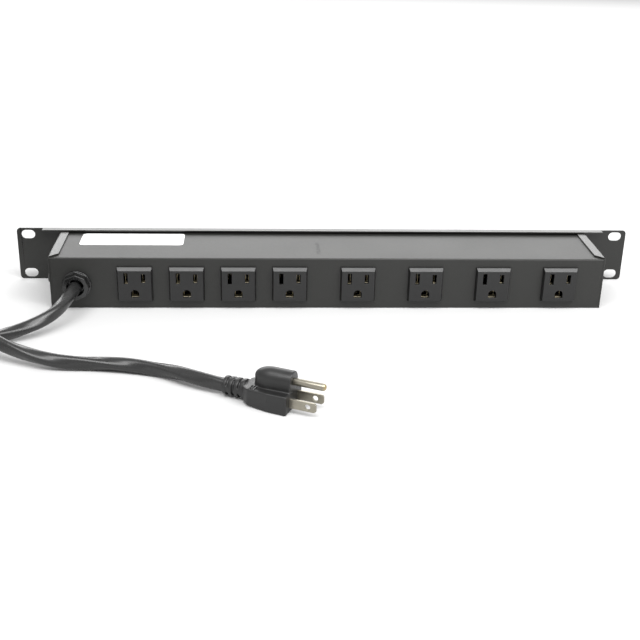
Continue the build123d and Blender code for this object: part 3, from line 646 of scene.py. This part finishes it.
@dataclass
class MainsCord:
    """The cord from the bushing to the plug, with its put-away coil.

    The coil's phases say, in degrees turned since its start, where the cord does what.
    """

    length: float = 1.75
    lay_length: float = 0.150
    lobe: float = 0.095
    coil_centre: tuple[float, float] = (-324.4 * MM, -96.0 * MM)
    coil_start: float = -45.0
    coil_sweep: float = 1360.0
    coil_step: float = 20.0
    settles: tuple[float, float] = (0, 60)
    goes_inwards: tuple[float, float] = (300, 360)
    climbs: tuple[float, float] = (640, 695)
    goes_outwards: tuple[float, float] = (970, 1030)
    outline_points: int = 18
    outer: float = 61.75 * MM
    inner: float = 52.25 * MM
    low: float = 6.05 * MM
    high: float = 15.55 * MM
    supply: tuple[tuple[float, float, float], ...] = (
        (-187.0, -20.1, 19.0),
        (-187.0, -45.0, 19.0),
        (-194.6, -68.9, 13.9),
        (-212.0, -86.5, 8.0),
        (-236.19, -95.12, 4.75),
        (-253.87, -112.79, 4.75),
    )
    to_plug: tuple[tuple[float, float, float], ...] = (
        (-252.02, -91.71, 15.55),
        (-237.68, -112.19, 15.55),
        (-214.5, -126.0, 10.3),
        (-190.0, -134.0, 5.6),
        (-163.0, -135.5, 4.8),
        (-135.5, -138.5, 4.8),
        (-111.5, -147.5, 5.3),
        (-92.23, -161.65, 6.5),
        (-74.1, -170.1, 6.5),
    )

    def turns(self) -> list[Vector]:
        """The coil's points: an outer and an inner turn below, then the same two above."""
        step = math.radians(self.coil_step)
        swell = 1 / math.cos(step / 2)
        points = []
        for i in range(1, round(self.coil_sweep / self.coil_step)):
            phase = i * self.coil_step
            inwards = eased(phase, *self.goes_inwards) - eased(phase, *self.goes_outwards)
            climb = eased(phase, *self.climbs)
            settle = eased(phase, *self.settles)
            radius = (self.outer + (self.inner - self.outer) * inwards) * swell
            low = CORD_D / 2 + (self.low - CORD_D / 2) * settle
            angle = math.radians(self.coil_start - phase)
            x = self.coil_centre[0] + radius * math.cos(angle)
            y = self.coil_centre[1] + radius * math.sin(angle)
            points.append(Vector((x, y, low + (self.high - low) * climb)))
        return points

    def route(self) -> list[Vector]:
        """Every point of the cord, from the bushing to the plug."""
        supply = [Vector(point) * MM for point in self.supply]
        to_plug = [Vector(point) * MM for point in self.to_plug]
        return supply + self.turns() + to_plug

    def outline(self) -> bpy.types.Object:
        """The cord's cross-section, with three soft lobes where the conductors lie."""
        curve = bpy.data.curves.new("cord_outline", "CURVE")
        spline = curve.splines.new("NURBS")
        spline.points.add(self.outline_points - 1)
        for i, point in enumerate(spline.points):
            angle = 2 * math.pi * i / self.outline_points
            radius = CORD_D / 2 * (1 + self.lobe * (math.cos(3 * angle) - 0.4))
            point.co = (radius * math.cos(angle), radius * math.sin(angle), 0, 1)
        spline.order_u = 3
        spline.use_cyclic_u = True
        spline.resolution_u = 2
        outline = bpy.data.objects.new("cord_outline", curve)
        bpy.context.collection.objects.link(outline)
        outline.hide_render = True
        outline.hide_viewport = True
        return outline

    def build(self, with_pieces: Iterable[bpy.types.Object | str]) -> bpy.types.Object:
        """Args:
            with_pieces: The pieces on the cord; not used.

        Returns:
            The cord's curve.
        """
        curve = bpy.data.curves.new("mains_cord", "CURVE")
        curve.dimensions = "3D"
        spline = curve.splines.new("NURBS")
        route = self.route()
        spline.points.add(len(route) - 1)
        walked = 0.0
        for point, here, before in zip(spline.points, route, [route[0], *route]):
            walked += (here - before).length
            point.co = (*here, 1)
            point.tilt = 2 * math.pi * walked / self.lay_length
        spline.order_u = 3
        spline.use_endpoint_u = True
        spline.resolution_u = 12
        curve.bevel_mode = "OBJECT"
        curve.bevel_object = self.outline()
        curve.use_fill_caps = True
        curve.materials.append(Finish.CORD_BLACK.material())
        cord = bpy.data.objects.new("mains_cord", curve)
        bpy.context.collection.objects.link(cord)
        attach(cord, "base")
        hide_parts("cord_supply", "cord_coil", "cord_to_plug")
        LOG.info("cord: %d route points", len(route))
        return cord


def eased(value: float, start: float, end: float) -> float:
    """A smooth step from 0 at start to 1 at end."""
    part = min(1.0, max(0.0, (value - start) / (end - start)))
    return part * part * (3 - 2 * part)


# ------------------------------------------------------------------------- plug


@dataclass
class Plug:
    """The moulded plug, lying on its flat side, made along +X from where the cord goes in.

    Each of the block's sections is a place along it in millimetres, with the parts of the
    block's full width and full height that it has there.
    """

    nodes: dict[str, bpy.types.Object]
    collars: int = 4
    collar_length: float = 2.7 * MM
    collar_gap: float = 1.4 * MM
    collar_d: tuple[float, float] = (12.2 * MM, 12.9 * MM)
    collar_taper: tuple[float, float] = (-0.15 * MM, 0.1 * MM)
    collar_edge: float = 0.4 * MM
    bridge_width: float = 3.4 * MM
    bridge_sunk: float = 0.3 * MM
    core_d: float = 9.9 * MM
    core_start: float = 0.2 * MM
    sections: tuple[tuple[float, float, float], ...] = (
        (15.0, 0.52, 0.78),
        (19.5, 0.80, 0.84),
        (34.0, 0.98, 0.97),
        (47.0, 1.0, 1.0),
    )
    body_start: float = 20.0 * MM
    body_end: float = 47.0 * MM
    body_width: float = 25.6 * MM
    body_height: float = 13.0 * MM
    barrel_d: float = 13.2 * MM
    barrel_length: float = 26.0 * MM
    dome: float = 12.0 * MM
    barrel_z: float = 18.4 * MM
    barrel_edge: float = 0.6 * MM
    block_edge: float = 0.9 * MM
    blade_edge: float = 0.2 * MM
    rib_count: int = 3
    rib_from: float = 0.9 * MM
    rib_pitch: float = 1.7 * MM
    rib_aside: float = 7.0 * MM
    rib_up: float = 0.935
    rib_size: tuple[float, float, float] = (0.8 * MM, 5.4 * MM, 1.1 * MM)
    voxel: float = 0.32 * MM
    passes: int = 4

    def relief(self, shape: bmesh.types.BMesh) -> None:
        """The ribbed strain relief: a core, collars that grow towards the body, and bridges."""
        axis = self.body_height / 2
        up = Matrix.Translation((0, 0, axis))
        bmesh.ops.create_cone(
            shape, cap_ends=True, segments=48, radius1=self.core_d / 2, radius2=self.core_d / 2,
            depth=self.body_start, matrix=up @ along_x(self.core_start, self.body_start),
        )
        pitch = self.collar_length + self.collar_gap
        for i in range(self.collars):
            part = i / (self.collars - 1)
            width = self.collar_d[0] + (self.collar_d[1] - self.collar_d[0]) * part
            made = bmesh.ops.create_cone(
                shape, cap_ends=True, segments=48, radius1=width / 2 + self.collar_taper[0],
                radius2=width / 2 + self.collar_taper[1], depth=self.collar_length,
                matrix=up @ along_x(i * pitch, self.collar_length),
            )
            bmesh.ops.bevel(
                shape, geom=sharp_edges(made["verts"], 1), offset=self.collar_edge, segments=2,
                profile=0.5, affect="EDGES", material=-1,
            )
            if i + 1 < self.collars:
                self.bridges(shape, i * pitch + self.collar_length, width / 2, i % 2)

    def bridges(self, shape: bmesh.types.BMesh, start: float, radius: float, odd: int) -> None:
        """Two bridges across one gap between collars.

        Args:
            shape: The bmesh to add to.
            start: Where the gap starts.
            radius: The collar's radius.
            odd: 1 for bridges that are turned by a right angle.
        """
        length = self.collar_gap + 2 * self.bridge_sunk
        reach = 2 * radius - 0.5 * MM
        across = (self.bridge_width, reach) if odd else (reach, self.bridge_width)
        middle = (start + self.collar_gap / 2, 0, self.body_height / 2)
        bmesh.ops.create_cube(shape, size=1, matrix=box_at((length, *across), middle))

    def body(self, shape: bmesh.types.BMesh) -> None:
        """The flat block that holds the blades, which narrows towards the relief."""
        axis = self.body_height / 2
        rings = []
        for x, wide, high in self.sections:
            half = (self.body_width * wide / 2, axis * high)
            corners = ((-1, -1), (1, -1), (1, 1), (-1, 1))
            rings.append(
                [shape.verts.new((x * MM, y * half[0], axis + z * half[1])) for y, z in corners]
            )
        for low, high in zip(rings, rings[1:]):
            for i in range(4):
                shape.faces.new((low[i - 1], low[i], high[i], high[i - 1]))
        shape.faces.new(rings[0])
        shape.faces.new(rings[-1])
        verts = [v for ring in rings for v in ring]
        bmesh.ops.recalc_face_normals(shape, faces=list({f for v in verts for f in v.link_faces}))
        bmesh.ops.bevel(
            shape, geom=sharp_edges(verts, 0.5), offset=self.block_edge, segments=3,
            profile=0.5, affect="EDGES", material=-1,
        )

    def barrel(self, shape: bmesh.types.BMesh) -> None:
        """The ground pin's barrel on top, domed at its rear, and the web under it."""
        radius = self.barrel_d / 2
        start = self.body_end - self.barrel_length
        up = Matrix.Translation((0, 0, self.barrel_z))
        straight = self.barrel_length - self.dome
        made = bmesh.ops.create_cone(
            shape, cap_ends=True, segments=64, radius1=radius, radius2=radius, depth=straight,
            matrix=up @ along_x(start + self.dome, straight),
        )
        rims = sharp_edges(made["verts"], 1)
        front = [e for e in rims if e.verts[0].co.x > self.body_end - MM]
        bmesh.ops.bevel(
            shape, geom=front, offset=self.barrel_edge, segments=3, profile=0.5,
            affect="EDGES", material=-1,
        )
        dome = Matrix.Translation((start + self.dome, 0, self.barrel_z))
        bmesh.ops.create_uvsphere(
            shape, u_segments=64, v_segments=32, radius=1,
            matrix=dome @ Matrix.Diagonal((self.dome, radius, radius, 1)),
        )
        height = self.barrel_z - self.body_height / 2
        z = (self.body_height / 2 + self.barrel_z) / 2
        middle = (start + self.dome + straight / 2 - 0.2 * MM, 0, z)
        size = (straight - 0.4 * MM, self.barrel_d, height)
        bmesh.ops.create_cube(shape, size=1, matrix=box_at(size, middle))
        foot = Matrix.Translation((start + self.dome, 0, z))
        bmesh.ops.create_cone(
            shape, cap_ends=True, segments=64, radius1=1, radius2=1, depth=1,
            matrix=foot @ Matrix.Diagonal((self.dome, radius, height, 1)),
        )

    def ribs(self, shape: bmesh.types.BMesh) -> None:
        """Small grip ribs across the top, between the neck and the barrel's dome."""
        for i in range(self.rib_count):
            for side in (-1, 1):
                x = self.body_start + self.rib_from + i * self.rib_pitch
                middle = (x, side * self.rib_aside, self.body_height * self.rib_up)
                bmesh.ops.create_cube(shape, size=1, matrix=box_at(self.rib_size, middle))

    def build(self) -> list[bpy.types.Object]:
        """Makes the moulding and softens the blades.

        Returns:
            The plug's pieces.
        """
        shape = bmesh.new()
        self.relief(shape)
        self.body(shape)
        self.barrel(shape)
        self.ribs(shape)
        body = new_piece("plug_moulding", shape, Finish.PLUG_BLACK)
        origin = Vector((PLUG_START.x, PLUG_START.y, 0))
        place = Matrix.Translation(origin) @ Matrix.Rotation(PLUG_TURN, 4, "Z")
        fused(body, self.voxel, self.passes, place)
        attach(body, "base")
        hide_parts("plug_body")
        names = ("plug_line_blade", "plug_neutral_blade", "plug_ground_pin")
        metal = [self.nodes[name] for name in names]
        for piece in metal:
            soften(piece, self.blade_edge, 3)
        LOG.info("plug: %d faces in its moulding", len(body.data.polygons))
        return [body, *metal]


# ----------------------------------------------------------------------- studio


@dataclass
class Studio:
    """The pale floor, the soft lights and the camera."""

    eye: tuple[float, float, float] = (-0.05269, -0.77622, 0.31415)
    look: tuple[float, float, float] = (0.05632, 0.91561, -0.39811)
    roll: float = 1.39
    lens: float = 60.45
    floor_size: float = 14.0
    surround: float = 0.75
    lamps: dict[str, tuple[tuple, tuple, tuple, float]] = field(
        default_factory=lambda: {
            "over": ((0.0, -0.75, 1.45), (0.0, 0.0, 0.0), (2.2, 0.8), 40.0),
            "behind": ((0.1, 1.75, 0.80), (0.0, 0.0, 0.0), (3.2, 0.9), 34.0),
            "side": ((1.1, -0.7, 1.1), (0.0, 0.0, 0.0), (0.8, 0.8), 16.0),
        }
    )

    def floor(self) -> None:
        """A plain pale floor."""
        shape = bmesh.new()
        bmesh.ops.create_grid(shape, x_segments=1, y_segments=1, size=self.floor_size / 2)
        shader = Shader("floor_paint")
        cloud = shader.noise(3, 2)
        shade = shader.tint(cloud, (0.50, 0.50, 0.50), (0.52, 0.52, 0.52))
        material = shader.finish(Base_Color=shade, Roughness=0.85)
        mesh = bpy.data.meshes.new("floor")
        shape.to_mesh(mesh)
        shape.free()
        mesh.materials.append(material)
        floor = bpy.data.objects.new("floor", mesh)
        bpy.context.collection.objects.link(floor)

    def lights(self) -> None:
        """Soft boxes over, behind and beside the strip, and a pale surround."""
        for name, (place, target, size, power) in self.lamps.items():
            lamp = bpy.data.lights.new(name, "AREA")
            lamp.shape = "RECTANGLE"
            lamp.size, lamp.size_y = size
            lamp.energy = power
            light = bpy.data.objects.new(name, lamp)
            light.location = place
            aim = Vector(target) - Vector(place)
            light.rotation_euler = aim.to_track_quat("-Z", "Y").to_euler()
            bpy.context.collection.objects.link(light)
        world = bpy.data.worlds.new("surround")
        world.use_nodes = True
        world.node_tree.nodes["Background"].inputs["Color"].default_value = (1, 1, 1, 1)
        world.node_tree.nodes["Background"].inputs["Strength"].default_value = self.surround
        bpy.context.scene.world = world
        bpy.context.scene.view_settings.view_transform = "Standard"

    def camera(self) -> None:
        """The camera, a little above the strip and turned slightly about its own axis."""
        data = bpy.data.cameras.new("camera")
        data.lens = self.lens
        data.sensor_width = 36
        camera = bpy.data.objects.new("camera", data)
        aim = Vector(self.look).to_track_quat("-Z", "Y").to_matrix().to_4x4()
        roll = Matrix.Rotation(math.radians(self.roll), 4, "Z")
        camera.matrix_world = Matrix.Translation(self.eye) @ aim @ roll
        bpy.context.collection.objects.link(camera)
        bpy.context.scene.camera = camera

    def build(self) -> None:
        """Sets up the whole studio."""
        self.floor()
        self.lights()
        self.camera()
        LOG.info("studio: %d lamps", len(self.lamps))


# ------------------------------------------------------------------------ main


def dress(nodes: dict[str, bpy.types.Object]) -> None:
    """Gives every carried-over part the finish of its slot."""
    for piece in nodes.values():
        for slot in piece.material_slots:
            slot.material = Finish[slot.material.name.upper()].material()


def main() -> None:
    """Builds the strip's finish around the frame."""
    logging.basicConfig(level=logging.INFO, format="%(name)s %(message)s")
    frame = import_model()
    nodes = frame["nodes"]
    dress(nodes)
    Studio().build()
    Case(nodes).build()
    OutletRow(nodes).build()
    Bushing(nodes).build()
    Controls(nodes, frame["record"]["behaviour"]["joints"]).build()
    plug = Plug(nodes).build()
    MainsCord().build([*plug, "coil_tie"])


if __name__ == "__main__":
    main()
